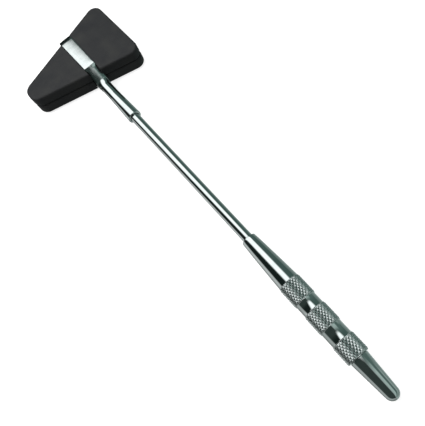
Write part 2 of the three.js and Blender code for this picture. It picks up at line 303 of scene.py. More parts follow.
def turned(name, rings, segments=TURNED_SEGMENTS):
    """A closed solid of revolution about the handle's axis.

    Each ring is (radius, back), and a ring's radius may be a list with one radius per segment.
    The rings run from the axis, round the outside, and back to the axis. A tube's rings run
    once round its wall instead, and end where they began.
    """
    vertices, starts = [], []
    for radius, back in rings:
        starts.append(len(vertices))
        if radius == 0:
            vertices.append((0, -back, AXIS_Z))
            continue
        for index in range(segments):
            spoke = radius[index] if isinstance(radius, list) else radius
            angle = 2 * math.pi * index / segments
            vertices.append((spoke * math.sin(angle), -back, AXIS_Z + spoke * math.cos(angle)))
    faces = []
    for ring in range(len(rings) - 1):
        low, high = starts[ring], starts[ring + 1]
        low_is_point = rings[ring][0] == 0
        high_is_point = rings[ring + 1][0] == 0
        for index in range(segments):
            after = (index + 1) % segments
            if low_is_point:
                faces.append((low, high + index, high + after))
            elif high_is_point:
                faces.append((low + after, low + index, high))
            else:
                faces += knurl_split(rings, ring, low, high, index, after)
    obj = mesh_object(name, vertices, faces)
    make_outward(obj)
    return obj


def knurl_split(rings, ring, low, high, index, after):
    """One quad of a turned piece, cut in two along its level line where the radii vary."""
    near, far = rings[ring][0], rings[ring + 1][0]
    corners = (low + index, low + after, high + after, high + index)
    if not (isinstance(near, list) and isinstance(far, list)):
        return [corners]
    one_way = (near[index], far[after])
    other_way = (near[after], far[index])
    one_gap = abs(one_way[0] - one_way[1])
    other_gap = abs(other_way[0] - other_way[1])
    if abs(one_gap - other_gap) < EVEN_RADII:
        along_first = sum(one_way) < sum(other_way)
    else:
        along_first = one_gap < other_gap
    if along_first:
        return [corners[:3], (corners[0], corners[2], corners[3])]
    return [(corners[0], corners[1], corners[3]), corners[1:]]


def make_outward(obj):
    """Turns a closed mesh right side out by its signed volume."""
    mesh = obj.data
    mesh.calc_loop_triangles()
    volume = sum(
        mesh.vertices[t.vertices[0]].co.dot(
            mesh.vertices[t.vertices[1]].co.cross(mesh.vertices[t.vertices[2]].co)
        )
        for t in mesh.loop_triangles
    )
    if volume < 0:
        mesh.flip_normals()


# ---------------------------------------------------------------- the head and its strap

def head_outline(inset):
    """The head's outline seen from above, drawn in by inset, as (x, y) points."""
    corners = [
        (-HEAD_NARROW_REACH, -HEAD_NARROW_WIDTH / 2, NARROW_CORNER_RADIUS),
        (HEAD_BROAD_REACH, -HEAD_BROAD_WIDTH / 2, BROAD_CORNER_RADIUS),
        (HEAD_BROAD_REACH, HEAD_BROAD_WIDTH / 2, BROAD_CORNER_RADIUS),
        (-HEAD_NARROW_REACH, HEAD_NARROW_WIDTH / 2, NARROW_CORNER_RADIUS),
    ]
    arcs = []
    for index, (x, y, radius) in enumerate(corners):
        corner = Vector((x, y))
        before = (Vector(corners[index - 1][:2]) - corner).normalized()
        after = (Vector(corners[(index + 1) % len(corners)][:2]) - corner).normalized()
        half_turn = before.angle(after) / 2
        centre = corner + (before + after).normalized() * (radius / math.sin(half_turn))
        start = corner + before * (radius / math.tan(half_turn)) - centre
        sweep = math.pi - 2 * half_turn
        spoke = start.normalized() * (radius - inset)
        arcs.append([
            centre + Matrix.Rotation(sweep * step / HEAD_CORNER_STEPS, 2) @ spoke
            for step in range(HEAD_CORNER_STEPS + 1)
        ])
    points = []
    for index, arc in enumerate(arcs):
        points += arc
        start, end = arc[-1], arcs[(index + 1) % len(arcs)][0]
        points += [start.lerp(end, step / HEAD_SIDE_STEPS) for step in range(1, HEAD_SIDE_STEPS)]
    return points


def head_rings():
    """(height above the axis, inset) rings from the underside to the top."""
    half = HEAD_THICKNESS / 2
    lobe = []
    waist_centre = WAIST_ROUND - WAIST_HALF_OVERLAP
    waist_start = math.asin(waist_centre / WAIST_ROUND)
    for step in range(HEAD_EDGE_STEPS + 1):
        angle = waist_start * (1 - step / HEAD_EDGE_STEPS)
        height = waist_centre - WAIST_ROUND * math.sin(angle)
        lobe.append((height, WAIST_ROUND * (1 - math.cos(angle))))
    for step in range(HEAD_EDGE_STEPS + 1):
        angle = math.pi / 2 * step / HEAD_EDGE_STEPS
        height = half - HEAD_EDGE_ROUND * (1 - math.sin(angle))
        lobe.append((height, HEAD_EDGE_ROUND * (1 - math.cos(angle))))
    return [(-height, inset) for height, inset in reversed(lobe[1:])] + lobe


def rubber_head():
    rings = head_rings()
    outlines = [head_outline(inset) for _, inset in rings]
    count = len(outlines[0])
    vertices = [
        (point.x, point.y, AXIS_Z + height)
        for (height, _), outline in zip(rings, outlines)
        for point in outline
    ]
    faces = []
    for ring in range(len(rings) - 1):
        for index in range(count):
            after = (index + 1) % count
            low, high = ring * count, (ring + 1) * count
            faces.append((low + index, low + after, high + after, high + index))
    faces.append(tuple(reversed(range(count))))
    faces.append(tuple(range((len(rings) - 1) * count, len(rings) * count)))
    head = mesh_object("rubber_head_moulding", vertices, faces)
    make_outward(head)
    cutter = channel_cutter()
    cut = head.modifiers.new("strap_channel", "BOOLEAN")
    cut.operation = "DIFFERENCE"
    cut.solver = "EXACT"
    cut.object = cutter
    bpy.context.view_layer.update()
    evaluated = head.evaluated_get(bpy.context.evaluated_depsgraph_get())
    head.data = bpy.data.meshes.new_from_object(evaluated)
    head.modifiers.clear()
    bpy.data.objects.remove(cutter)
    smooth(head)
    return head


def channel_cutter():
    """The room the strap takes out of the rubber: a ring round the rubber kept inside it."""
    back = -(CREASE_BACK - STRAP_THICKNESS)
    upper = fold_bend(STRAP_THICKNESS + SEAT_GAP)
    lower = [Vector((point.x, -point.y)) for point in reversed(upper)]
    core_half = upper[-1].y
    flat_length = upper[-1].x - back
    flat = [
        Vector((back + flat_length * (1 - step / CORE_FLAT_STEPS), core_half))
        for step in range(1, CORE_FLAT_STEPS + 1)
    ]
    mirrored = [Vector((point.x, -point.y)) for point in reversed(flat)]
    inner = mirrored + lower + upper[1:] + flat
    middle = Vector(((inner[0].x + FOLD_Y) / 2, 0))
    outer = []
    for point in inner:
        outer.append(point + (point - middle).normalized() * CHANNEL_REACH)
    loops = []
    for side in (-1, 1):
        for line in (inner, outer):
            loop = []
            for point in line:
                half = strap_half_width(point.x) + CHANNEL_SIDE_GAP
                loop.append((side * half, point.x, AXIS_Z + point.y))
            loops.append(loop)
    count = len(inner)
    vertices = [v for loop in loops for v in loop]
    faces = []
    for a, b in ((0, 1), (1, 3), (3, 2), (2, 0)):
        for index in range(count):
            after = (index + 1) % count
            near, far = a * count, b * count
            faces.append((near + index, near + after, far + after, far + index))
    cutter = mesh_object("channel_cutter", vertices, faces)
    make_outward(cutter)
    return cutter


def fold_bend(inset):
    """The fold's upper bend this far inside its outer face, as (y, z above the axis) points."""
    centre = Vector((FOLD_Y - FOLD_LENGTH, AXIS_Z - FOLD_DROP))
    points = []
    for step in range(FOLD_STEPS + 1):
        angle = math.pi / 2 * step / FOLD_STEPS
        reach = (FOLD_LENGTH - inset) * math.cos(angle)
        rise = (FOLD_DROP - inset) * math.sin(angle)
        points.append(centre + Vector((reach, rise)))
    return points


def strap_half_width(y):
    share = min(max((FOLD_Y - y) / (FOLD_Y + NECK_FRONT_BACK), 0), 1)
    return (STRAP_FOLD_WIDTH + (STRAP_NECK_WIDTH - STRAP_FOLD_WIDTH) * share) / 2


def curve(points, count):
    """A quadratic curve through its first and last points, pulled to the middle one."""
    a, b, c = (Vector(p) for p in points)
    line = []
    for step in range(count + 1):
        t = step / count
        line.append(a * (1 - t) ** 2 + b * 2 * t * (1 - t) + c * t * t)
    return line


def strap_upper_line():
    """The strap's middle line over the top, as (y, z above the axis, roundness) stations."""
    flat = AXIS_Z - STRAP_THICKNESS / 2
    end_height = NECK_FRONT_RADIUS - STRAP_THICKNESS / 2
    stations = [(point.x, point.y, 0.0) for point in fold_bend(STRAP_THICKNESS / 2)]
    fold_start = stations[-1][0]
    crease_front = -CREASE_BACK + CREASE_ROUND
    for step in range(1, FLAT_STEPS):
        y = fold_start + (crease_front - fold_start) * step / FLAT_STEPS
        stations.append((y, flat, 0.0))
    scoop_end = Vector((-NECK_FRONT_BACK + STRAP_TIGHT_GAP, end_height))
    bend_middle = scoop_end + Vector((SCOOP_BEND_LENGTH / 2, 0))
    crease_middle = Vector((-CREASE_BACK, flat))
    downhill = (bend_middle - crease_middle).normalized()
    crease_end = crease_middle + downhill * CREASE_ROUND
    crease = curve([(crease_front, flat), crease_middle, crease_end], CREASE_STEPS)
    stations += [(point.x, point.y, 0.0) for point in crease]
    bend_start = bend_middle - downhill * SCOOP_BEND_LENGTH / 2
    for step in range(1, SCOOP_STEPS):
        point = crease[-1].lerp(bend_start, step / SCOOP_STEPS)
        share = min(1, (crease[-1] - point).length / SCOOP_ROUNDING_LENGTH)
        eased = SCOOP_ROUNDNESS * share * share * (3 - 2 * share)
        stations.append((point.x, point.y, eased))
    bend = curve([bend_start, bend_middle, scoop_end], SCOOP_BEND_STEPS)
    for index, point in enumerate(bend):
        share = index / SCOOP_BEND_STEPS
        stations.append((point.x, point.y, SCOOP_ROUNDNESS + (1 - SCOOP_ROUNDNESS) * share))
    return stations


def strap_section(height, roundness, half_width):
    """The strap's section at one station, as (x, offset) points round its edge.

    The offset runs along the strap's outward side. Roundness is 0 for a nearly flat strap
    and 1 for one bent as round as the neck.
    """
    ball_radius = half_width + SCOOP_BALL_MARGIN

    def sag(x):
        ball = math.sqrt(ball_radius ** 2 - x * x)
        crown = STRAP_CROWN * (x / half_width) ** 2
        return crown + roundness * (ball_radius - ball - crown)

    edge = STRAP_EDGE_ROUND
    half = STRAP_THICKNESS / 2
    outer, inner = [], []
    for step in range(STRAP_ACROSS_STEPS + 1):
        x = (half_width - edge) * (1 - 2 * step / STRAP_ACROSS_STEPS)
        outer.append((x, half - sag(x)))
        lowest = -abs(height) + STRAP_TIGHT_GAP
        inner.append((x, max(-half - sag(x), lowest)))
    corner_out, corner_in = outer[0][1], inner[0][1]
    side_round = min(edge, (corner_out - corner_in) * STRAP_EDGE_SHARE)
    right = []
    for step in range(1, STRAP_EDGE_STEPS):
        angle = math.pi / 2 * step / STRAP_EDGE_STEPS
        right.append((
            half_width - edge + edge * math.sin(angle),
            corner_out - side_round * (1 - math.cos(angle)),
        ))
    right.append((half_width, corner_out - side_round))
    right.append((half_width, corner_in + side_round))
    for step in range(1, STRAP_EDGE_STEPS):
        angle = math.pi / 2 * step / STRAP_EDGE_STEPS
        right.append((
            half_width - edge + edge * math.cos(angle),
            corner_in + side_round * (1 - math.sin(angle)),
        ))
    left = [(-x, offset) for x, offset in reversed(right)]
    return outer + left + list(reversed(inner)) + list(reversed(right))


def head_strap():
    upper = strap_upper_line()
    lower = [(y, -z, roundness) for y, z, roundness in upper]
    stations = list(reversed(lower)) + upper
    vertices = []
    for index, (y, z, roundness) in enumerate(stations):
        before = Vector(stations[max(index - 1, 0)][:2])
        after = Vector(stations[min(index + 1, len(stations) - 1)][:2])
        along = (after - before).normalized()
        # Both ends are square to the handle, where they meet the neck.
        if index == 0:
            along = Vector((1, 0))
        elif index == len(stations) - 1:
            along = Vector((-1, 0))
        out = Vector((along.y, -along.x))
        for x, offset in strap_section(z, roundness, strap_half_width(y)):
            vertices.append((x, y + out.x * offset, AXIS_Z + z + out.y * offset))
    count = len(vertices) // len(stations)
    faces = []
    for station in range(len(stations) - 1):
        for index in range(count):
            after = (index + 1) % count
            low, high = station * count, (station + 1) * count
            faces.append((low + index, low + after, high + after, high + index))
    faces.append(tuple(range(count)))
    faces.append(tuple(reversed(range(len(vertices) - count, len(vertices)))))
    strap = mesh_object("head_strap_strip", vertices, faces)
    make_outward(strap)
    smooth(strap)
    return strap


# ---------------------------------------------------------------- the handle

def neck_socket():
    bore = ROD_RADIUS + SOCKET_CLEARANCE
    front, end = NECK_FRONT_BACK, NECK_END_BACK
    outline = filleted([
        (0, end - SOCKET_DEPTH, 0),
        (bore, end - SOCKET_DEPTH, 0),
        (bore, end - SOCKET_LIP, 0),
        (bore + SOCKET_LIP_FLARE, end, 0),
        (NECK_END_RADIUS, end, NECK_EDGE_ROUND),
        (NECK_FRONT_RADIUS, front + NECK_STRAIGHT_LENGTH, NECK_SHOULDER_ROUND),
        (NECK_FRONT_RADIUS, front, 0),
        (TONGUE_RADIUS, front, 0),
        (TONGUE_RADIUS, front - TONGUE_LENGTH, TONGUE_RADIUS / 2),
        (0, front - TONGUE_LENGTH, 0),
    ])
    neck = turned("neck_socket_turning", [tuple(point) for point in outline])
    smooth(neck)
    return neck


def shaft_rod():
    front = NECK_END_BACK - SOCKET_DEPTH + SEAT_GAP
    back = GRIP_FRONT_BACK + SOCKET_DEPTH - SEAT_GAP
    outline = filleted([
        (0, back, 0),
        (ROD_RADIUS - ROD_END_CHAMFER, back, 0),
        (ROD_RADIUS, back - ROD_END_CHAMFER, 0),
        (ROD_RADIUS, front + ROD_END_CHAMFER, 0),
        (ROD_RADIUS - ROD_END_CHAMFER, front, 0),
        (0, front, 0),
    ])
    rod = turned("shaft_rod_bar", [tuple(point) for point in outline])
    smooth(rod)
    return rod


def knurl_rings(start, length):
    """Rings of one knurled band, as (radii, back), from its tail side to its head side."""
    segments = grip_segments()
    half_cell = math.pi * BAND_RADIUS / KNURL_STARTS
    rows = max(2, round(length / (half_cell / math.tan(KNURL_HELIX)))) * KNURL_STEPS_PER_HALF_CELL
    cell_steps = 2 * KNURL_STEPS_PER_HALF_CELL
    rings = []
    for row in range(rows + 1):
        depth_in = min(row, rows - row) * length / rows
        ceiling = BAND_RADIUS - max(0, BAND_CHAMFER - depth_in)
        radii = []
        for index in range(segments):
            rise = min(
                ridge((index + row) / cell_steps),
                ridge((index - row) / cell_steps),
            )
            radii.append(min(BAND_RADIUS - KNURL_DEPTH + rise * KNURL_DEPTH, ceiling))
        rings.append((radii, start + length * (1 - row / rows)))
    return rings


def ridge(turns):
    """0 on the valley lines and 1 midway between them."""
    return 1 - abs(2 * (turns % 1) - 1)


def grip_segments():
    return KNURL_STARTS * 2 * KNURL_STEPS_PER_HALF_CELL


def handle_grip():
    bore = ROD_RADIUS + SOCKET_CLEARANCE
    end = GRIP_END_BACK
    thread_depth = SPIGOT_LENGTH + SEAT_GAP
    rings = [
        (0, BRUSH_BORE_END_BACK),
        (BRUSH_BORE_RADIUS, BRUSH_BORE_END_BACK),
        (BRUSH_BORE_RADIUS, end - thread_depth),
        (THREAD_BORE_RADIUS, end - thread_depth),
        (THREAD_BORE_RADIUS, end - SOCKET_LIP),
        (THREAD_BORE_RADIUS + SOCKET_LIP_FLARE, end),
    ]
    groove_rings = []
    bands = []
    back = FIRST_BAND_BACK
    for index, length in enumerate(BAND_LENGTHS):
        bands.append(knurl_rings(back, length))
        back += length
        if index < len(GROOVE_LENGTHS):
            groove = GROOVE_LENGTHS[index]
            line = filleted([
                (BAND_RADIUS, back + groove, 0),
                (GROOVE_RADIUS, back + groove, GROOVE_FILLET),
                (GROOVE_RADIUS, back, GROOVE_FILLET),
                (BAND_RADIUS, back, 0),
            ])
            groove_rings.append([tuple(point) for point in line[1:-1]])
            back += groove
    for index in reversed(range(len(BAND_LENGTHS))):
        rings += bands[index]
        if index:
            rings += groove_rings[index - 1]
    rings += cone_rings(bore)
    rings += [(bore, GRIP_FRONT_BACK + SOCKET_DEPTH), (0, GRIP_FRONT_BACK + SOCKET_DEPTH)]
    grip = turned("handle_grip_turning", rings, grip_segments())
    smooth(grip)
    return grip


def cone_rings(bore):
    front = GRIP_FRONT_BACK
    rings = []
    for step in range(CONE_STEPS, 0, -1):
        share = step / CONE_STEPS
        radius = CONE_FRONT_RADIUS + (CONE_BACK_RADIUS - CONE_FRONT_RADIUS) * share ** CONE_SWELL
        rings.append((radius, front + CONE_LENGTH * share))
    face = filleted([
        rings[-1] + (0,),
        (CONE_FRONT_RADIUS, front, NECK_EDGE_ROUND),
        (bore + SOCKET_LIP_FLARE, front, 0),
        (bore, front + SOCKET_LIP, 0),
    ])
    return rings + [tuple(point) for point in face[1:]]


def tail_cap():
    shoulder = GRIP_END_BACK + TAIL_SHOULDER_GAP
    dome_back = TAIL_TIP_BACK - TAIL_BACK_RADIUS
    spigot_front = GRIP_END_BACK - SPIGOT_LENGTH
    stem_bore = STEM_RADIUS + SOCKET_CLEARANCE
    rings = []
    for step in range(DOME_STEPS + 1):
        angle = math.pi / 2 * step / DOME_STEPS
        radius = TAIL_BACK_RADIUS * math.sin(angle)
        rings.append((radius, dome_back + TAIL_BACK_RADIUS * math.cos(angle)))
    side = filleted([
        rings[-1] + (0,),
        (TAIL_FRONT_RADIUS, shoulder, TAIL_EDGE_ROUND),
        (SPIGOT_RADIUS - THREAD_DEPTH, shoulder, 0),
    ])
    rings += [tuple(point) for point in side[1:]]
    rings += thread_rings(shoulder - THREAD_PITCH, spigot_front + THREAD_PITCH)
    rings += [
        (SPIGOT_RADIUS - THREAD_DEPTH, spigot_front + THREAD_PITCH / 2),
        (SPIGOT_RADIUS - 2 * THREAD_DEPTH, spigot_front),
        (stem_bore, spigot_front),
        (stem_bore, spigot_front + STEM_SOCKET_DEPTH),
        (0, spigot_front + STEM_SOCKET_DEPTH),
    ]
    cap = turned("tail_cap_turning", rings)
    smooth(cap)
    return cap


def thread_rings(start, end):
    """A fine screw thread between two places, fading out over its first and last turn."""
    turns = (start - end) / THREAD_PITCH
    count = round(turns * THREAD_RINGS_PER_PITCH)
    rings = []
    for ring in range(count + 1):
        along = turns * ring / count
        fade = min(1, along, turns - along)
        radii = []
        for index in range(TURNED_SEGMENTS):
            crest = ridge(along + index / TURNED_SEGMENTS)
            radii.append(SPIGOT_RADIUS - THREAD_DEPTH * (1 - crest * max(fade, 0)))
        rings.append((radii, start - (start - end) * ring / count))
    return rings


# ---------------------------------------------------------------- the brush

def brush_stem():
    deep, front = STEM_DEEP_BACK, STEM_FRONT_BACK
    length = deep - front
    corners = [(0, deep, 0), (STEM_RADIUS, deep, STEM_END_ROUND)]
    for share in STEM_RING_PLACES:
        place = deep - length * share
        corners += [
            (STEM_RADIUS, place + STEM_RING_LENGTH, STEM_RING_ROUND),
            (STEM_RING_RADIUS, place + STEM_RING_LENGTH / 2, STEM_RING_ROUND),
            (STEM_RING_RADIUS, place - STEM_RING_LENGTH / 2, STEM_RING_ROUND),
            (STEM_RADIUS, place - STEM_RING_LENGTH, STEM_RING_ROUND),
        ]
    corners += [(STEM_RADIUS, front, STEM_END_ROUND), (0, front, 0)]
    line = [tuple(point) for point in filleted(corners)]
    stem = turned("brush_stem_pin", line, BRUSH_SEGMENTS)
    smooth(stem)
    return stem


def brush_ferrule():
    inner = FERRULE_INNER_RADIUS
    outer = inner + FERRULE_WALL
    front, end = FERRULE_FRONT_BACK, FERRULE_END_BACK
    corners = [
        (inner, front, 0),
        (inner, end, 0),
        (outer, end, FERRULE_EDGE_ROUND),
    ]
    for share in CRIMP_PLACES:
        place = front + (end - front) * share
        corners += [
            (outer, place + CRIMP_HALF_LENGTH, CRIMP_ROUND),
            (outer - CRIMP_DEPTH, place, CRIMP_ROUND),
            (outer, place - CRIMP_HALF_LENGTH, CRIMP_ROUND),
        ]
    corners += [(outer, front, FERRULE_EDGE_ROUND), (inner, front, 0)]
    line = [tuple(point) for point in filleted(corners)]
    ferrule = turned("brush_ferrule_tube", line, BRUSH_SEGMENTS)
    smooth(ferrule)
    return ferrule


def brush_bristles():
    """Fine strands, packed in the ferrule and opening out a little towards their tips."""
    draw = random.Random(BRISTLE_SEED)
    vertices, faces = [], []
    packed = FERRULE_INNER_RADIUS - BRISTLE_PACKING_MARGIN
    for strand in range(BRISTLE_COUNT):
        spoke = packed * math.sqrt((strand + 0.5) / BRISTLE_COUNT)
        # A golden angle from each strand to the next packs them evenly.
        angle = strand * math.pi * (3 - math.sqrt(5))
        root = Vector((spoke * math.cos(angle), 0, spoke * math.sin(angle)))
        lean = Vector((draw.uniform(-1, 1), 0, draw.uniform(-1, 1))) * BRISTLE_LEAN * MM
        tip = root * BRISTLE_SPREAD + lean
        tip_back = BRISTLE_TIP_BACK + draw.uniform(0, BRISTLE_LENGTH_SCATTER)
        start = len(vertices)
        for step in range(BRISTLE_STEPS + 1):
            share = step / BRISTLE_STEPS
            opening = max(0, share * BRISTLE_OPENING_RATE - BRISTLE_OPENING_DELAY)
            opened = opening ** BRISTLE_OPENING_CURVE
            centre = root.lerp(tip, opened)
            back = BRISTLE_ROOT_BACK + (tip_back - BRISTLE_ROOT_BACK) * share
            thickness = BRISTLE_RADIUS * (1 - BRISTLE_TAPER * share)
            for side in range(BRISTLE_SIDES):
                turn = 2 * math.pi * side / BRISTLE_SIDES
                vertices.append((
                    centre.x + thickness * math.cos(turn),
                    -back,
                    AXIS_Z + centre.z + thickness * math.sin(turn),
                ))
        for step in range(BRISTLE_STEPS):
            for side in range(BRISTLE_SIDES):
                after = (side + 1) % BRISTLE_SIDES
                low = start + step * BRISTLE_SIDES
                high = low + BRISTLE_SIDES
                faces.append((low + side, low + after, high + after, high + side))
        faces.append(tuple(reversed(range(start, start + BRISTLE_SIDES))))
        end = start + BRISTLE_STEPS * BRISTLE_SIDES
        faces.append(tuple(range(end, end + BRISTLE_SIDES)))
    bristles = mesh_object("brush_bristle_tuft", vertices, faces)
    make_outward(bristles)
    bristles.data.shade_smooth()
    return bristles


# ---------------------------------------------------------------- materials

def new_material(name):
    material = bpy.data.materials.new(name)
    material.use_nodes = True
    nodes = material.node_tree.nodes
    shader = nodes["Principled BSDF"]
    return material, nodes, material.node_tree.links, shader


def noise(nodes, links, scale, detail, stretch=(1, 1, 1)):
    """A noise over the object's own coordinates, with cells of about 1 / scale metres."""
    place = nodes.new("ShaderNodeTexCoord")
    mapping = nodes.new("ShaderNodeMapping")
    mapping.inputs["Scale"].default_value = stretch
    texture = nodes.new("ShaderNodeTexNoise")
    texture.inputs["Scale"].default_value = scale
    texture.inputs["Detail"].default_value = detail
    links.new(place.outputs["Object"], mapping.inputs["Vector"])
    links.new(mapping.outputs["Vector"], texture.inputs["Vector"])
    return texture.outputs["Fac"]


def ramp(nodes, links, source, stops):
    """Colours by position along a ramp, from (position, colour) stops."""
    node = nodes.new("ShaderNodeValToRGB")
    elements = node.color_ramp.elements
    while len(elements) < len(stops):
        elements.new(0.5)
    for element, (position, colour) in zip(elements, stops):
        element.position = position
        element.color = (*colour, 1)
    links.new(source, node.inputs["Fac"])
    return node.outputs["Color"]


def ranged(nodes, links, source, low, high, start=0.3, end=0.7):
    """A number from low to high as the source goes from start to end."""
    node = nodes.new("ShaderNodeMapRange")
    node.inputs["From Min"].default_value = start
    node.inputs["From Max"].default_value = end
    node.inputs["To Min"].default_value = low
    node.inputs["To Max"].default_value = high
    links.new(source, node.inputs["Value"])
    return node.outputs["Result"]


def bumps(nodes, links, shader, layers):
    """Bumps on the shader from (height source, depth in metres) layers, one on the other."""
    normal = None
    for height, depth in layers:
        node = nodes.new("ShaderNodeBump")
        node.inputs["Distance"].default_value = depth
        links.new(height, node.inputs["Height"])
        if normal:
            links.new(normal, node.inputs["Normal"])
        normal = node.outputs["Normal"]
    links.new(normal, shader.inputs["Normal"])


def chrome(name, waviness, roughness):
    material, nodes, links, shader = new_material(name)
    shader.inputs["Metallic"].default_value = 1.0
    haze = noise(nodes, links, scale=420, detail=5)
    links.new(ramp(nodes, links, haze, CHROME_TONES), shader.inputs["Base Color"])
    polish = noise(nodes, links, scale=900, detail=6, stretch=POLISH_STRETCH)
    links.new(ranged(nodes, links, polish, *roughness), shader.inputs["Roughness"])
    waves = noise(nodes, links, scale=330, detail=2)
    scratches = noise(nodes, links, scale=5200, detail=3, stretch=SCRATCH_STRETCH)
    bumps(nodes, links, shader, [(waves, waviness), (scratches, SCRATCH_DEPTH)])
    return material


def knurled_chrome(name, waviness, roughness):
    """The handle's chrome, worn duller where the surface stands out as far as the knurl."""
    material = chrome(name, waviness, roughness)
    nodes, links = material.node_tree.nodes, material.node_tree.links
    place = nodes.new("ShaderNodeTexCoord")
    spoke = nodes.new("ShaderNodeVectorMath")
    spoke.operation = "MULTIPLY_ADD"
    spoke.inputs[1].default_value = (1, 0, 1)
    spoke.inputs[2].default_value = (0, 0, -AXIS_Z)
    links.new(place.outputs["Object"], spoke.inputs[0])
    length = nodes.new("ShaderNodeVectorMath")
    length.operation = "LENGTH"
    links.new(spoke.outputs[0], length.inputs[0])
    valley = BAND_RADIUS - KNURL_DEPTH
    wear_start, wear_end = valley - 2 * KNURL_WEAR_MARGIN, valley - KNURL_WEAR_MARGIN
    worn = ranged(nodes, links, length.outputs["Value"], 0, KNURL_WEAR, wear_start, wear_end)
    shader = nodes["Principled BSDF"]
    polished = shader.inputs["Roughness"].links[0].from_socket
    total = nodes.new("ShaderNodeMath")
    total.operation = "ADD"
    links.new(polished, total.inputs[0])
    links.new(worn, total.inputs[1])
    links.new(total.outputs[0], shader.inputs["Roughness"])
    return material


def rubber():
    material, nodes, links, shader = new_material("moulded_rubber")
    cloud = noise(nodes, links, scale=150, detail=6)
    links.new(ramp(nodes, links, cloud, RUBBER_TONES), shader.inputs["Base Color"])
    grain = noise(nodes, links, scale=2600, detail=4)
    links.new(ranged(nodes, links, grain, *RUBBER_ROUGHNESS), shader.inputs["Roughness"])
    shader.inputs["Specular IOR Level"].default_value = RUBBER_SPECULAR
    pores = noise(nodes, links, scale=4200, detail=3)
    bumps(nodes, links, shader, [
        (cloud, RUBBER_CLOUD_DEPTH),
        (grain, RUBBER_GRAIN_DEPTH),
        (pores, RUBBER_PORE_DEPTH),
    ])
    return material


def brass():
    material, nodes, links, shader = new_material("turned_brass")
    shader.inputs["Metallic"].default_value = 1.0
    tarnish = noise(nodes, links, scale=500, detail=6)
    links.new(ramp(nodes, links, tarnish, BRASS_TONES), shader.inputs["Base Color"])
    links.new(ranged(nodes, links, tarnish, *BRASS_ROUGHNESS), shader.inputs["Roughness"])
    lines = noise(nodes, links, scale=4000, detail=2, stretch=BRASS_LINE_STRETCH)
    bumps(nodes, links, shader, [(lines, BRASS_LINE_DEPTH)])
    return material


def bristle():
    material, nodes, links, shader = new_material("pale_bristle")
    strands = noise(nodes, links, scale=3500, detail=3, stretch=BRISTLE_STRETCH)
    links.new(ramp(nodes, links, strands, BRISTLE_TONES), shader.inputs["Base Color"])
    links.new(ranged(nodes, links, strands, *BRISTLE_ROUGHNESS), shader.inputs["Roughness"])
    shader.inputs["Sheen Weight"].default_value = BRISTLE_SHEEN
    return material


# ---------------------------------------------------------------- stage

def make_camera():
    heading, elevation = CAMERA_HEADING, CAMERA_ELEVATION
    forward = Vector((
        math.sin(heading) * math.cos(elevation),
        math.cos(heading) * math.cos(elevation),
        -math.sin(elevation),
    ))
    data = bpy.data.cameras.new("camera")
    data.lens = CAMERA_LENS
    data.sensor_width = CAMERA_SENSOR
    data.clip_start = MM
    data.clip_end = CAMERA_FAR
    camera = bpy.data.objects.new("camera", data)
    bpy.context.scene.collection.objects.link(camera)
    camera.location = LENS_TARGET - forward * CAMERA_DISTANCE
    camera.rotation_mode = "QUATERNION"
    roll = Quaternion((0, 0, 1), CAMERA_ROLL)
    camera.rotation_quaternion = forward.to_track_quat("-Z", "Y") @ roll
    bpy.context.scene.camera = camera


def make_floor():
    """A pale, softly glowing table top that touches the strap and the last knurled band."""
    band_y = -(GRIP_END_BACK - BAND_CHAMFER)
    rise = (AXIS_Z - BAND_RADIUS) / (-CREASE_BACK - band_y)
    corners = []
    for x, y in ((-1, -1), (1, -1), (1, 1), (-1, 1)):
        far = y * FLOOR_HALF_SIZE
        corners.append((x * FLOOR_HALF_SIZE, far, (-CREASE_BACK - far) * rise))
    floor = mesh_object("floor", corners, [(0, 1, 2, 3)])
    material, nodes, links, shader = new_material("pale_table")
    shader.inputs["Base Color"].default_value = FLOOR_COLOUR
    shader.inputs["Roughness"].default_value = FLOOR_ROUGHNESS
    shader.inputs["Specular IOR Level"].default_value = 0.0
    shader.inputs["Emission Color"].default_value = (1, 1, 1, 1)
    shader.inputs["Emission Strength"].default_value = FLOOR_GLOW
    floor.data.materials.append(material)
    floor.visible_glossy = False
    floor.visible_diffuse = False


def make_light():
    data = bpy.data.lights.new("softbox", "AREA")
    data.shape = "RECTANGLE"
    data.size = SOFTBOX_SIZE
    data.size_y = SOFTBOX_SIZE
    data.energy = SOFTBOX_POWER
    light = bpy.data.objects.new("softbox", data)
    bpy.context.scene.collection.objects.link(light)
    light.location = SOFTBOX_PLACE
    aim = LENS_TARGET - SOFTBOX_PLACE
    light.rotation_mode = "QUATERNION"
    light.rotation_quaternion = aim.to_track_quat("-Z", "Y")
    light.visible_glossy = False


class Sums:
    """Short names for the world's arithmetic nodes."""

    def __init__(self, tree):
        self.nodes = tree.nodes
        self.links = tree.links

    def feed(self, socket, value):
        """Sets a socket to a number, or links another socket to it."""
        if isinstance(value, (int, float)):
            socket.default_value = value
        else:
            self.links.new(value, socket)

    def do(self, operation, *values):
        node = self.nodes.new("ShaderNodeMath")
        node.operation = operation
        for socket, value in zip(node.inputs, values):
            self.feed(socket, value)
        return node.outputs[0]

    def step(self, value, start, end):
        """0 up to start and 1 from end on, smooth between. End may be the lower of the two."""
        node = self.nodes.new("ShaderNodeMapRange")
        node.interpolation_type = "SMOOTHSTEP"
        for name, given in (("Value", value), ("From Min", start), ("From Max", end)):
            self.feed(node.inputs[name], given)
        return node.outputs["Result"]

    def shifted(self, value, amount):
        """A number or a socket's value, plus amount."""
        if isinstance(value, (int, float)):
            return value + amount
        return self.do("ADD", value, amount)

    def between(self, value, low, high, edge):
        """1 from low to high, with soft edges."""
        rising = self.step(value, self.shifted(low, -edge), self.shifted(low, edge))
        falling = self.step(value, self.shifted(high, -edge), self.shifted(high, edge))
        return self.do("MULTIPLY", rising, self.do("SUBTRACT", 1, falling))


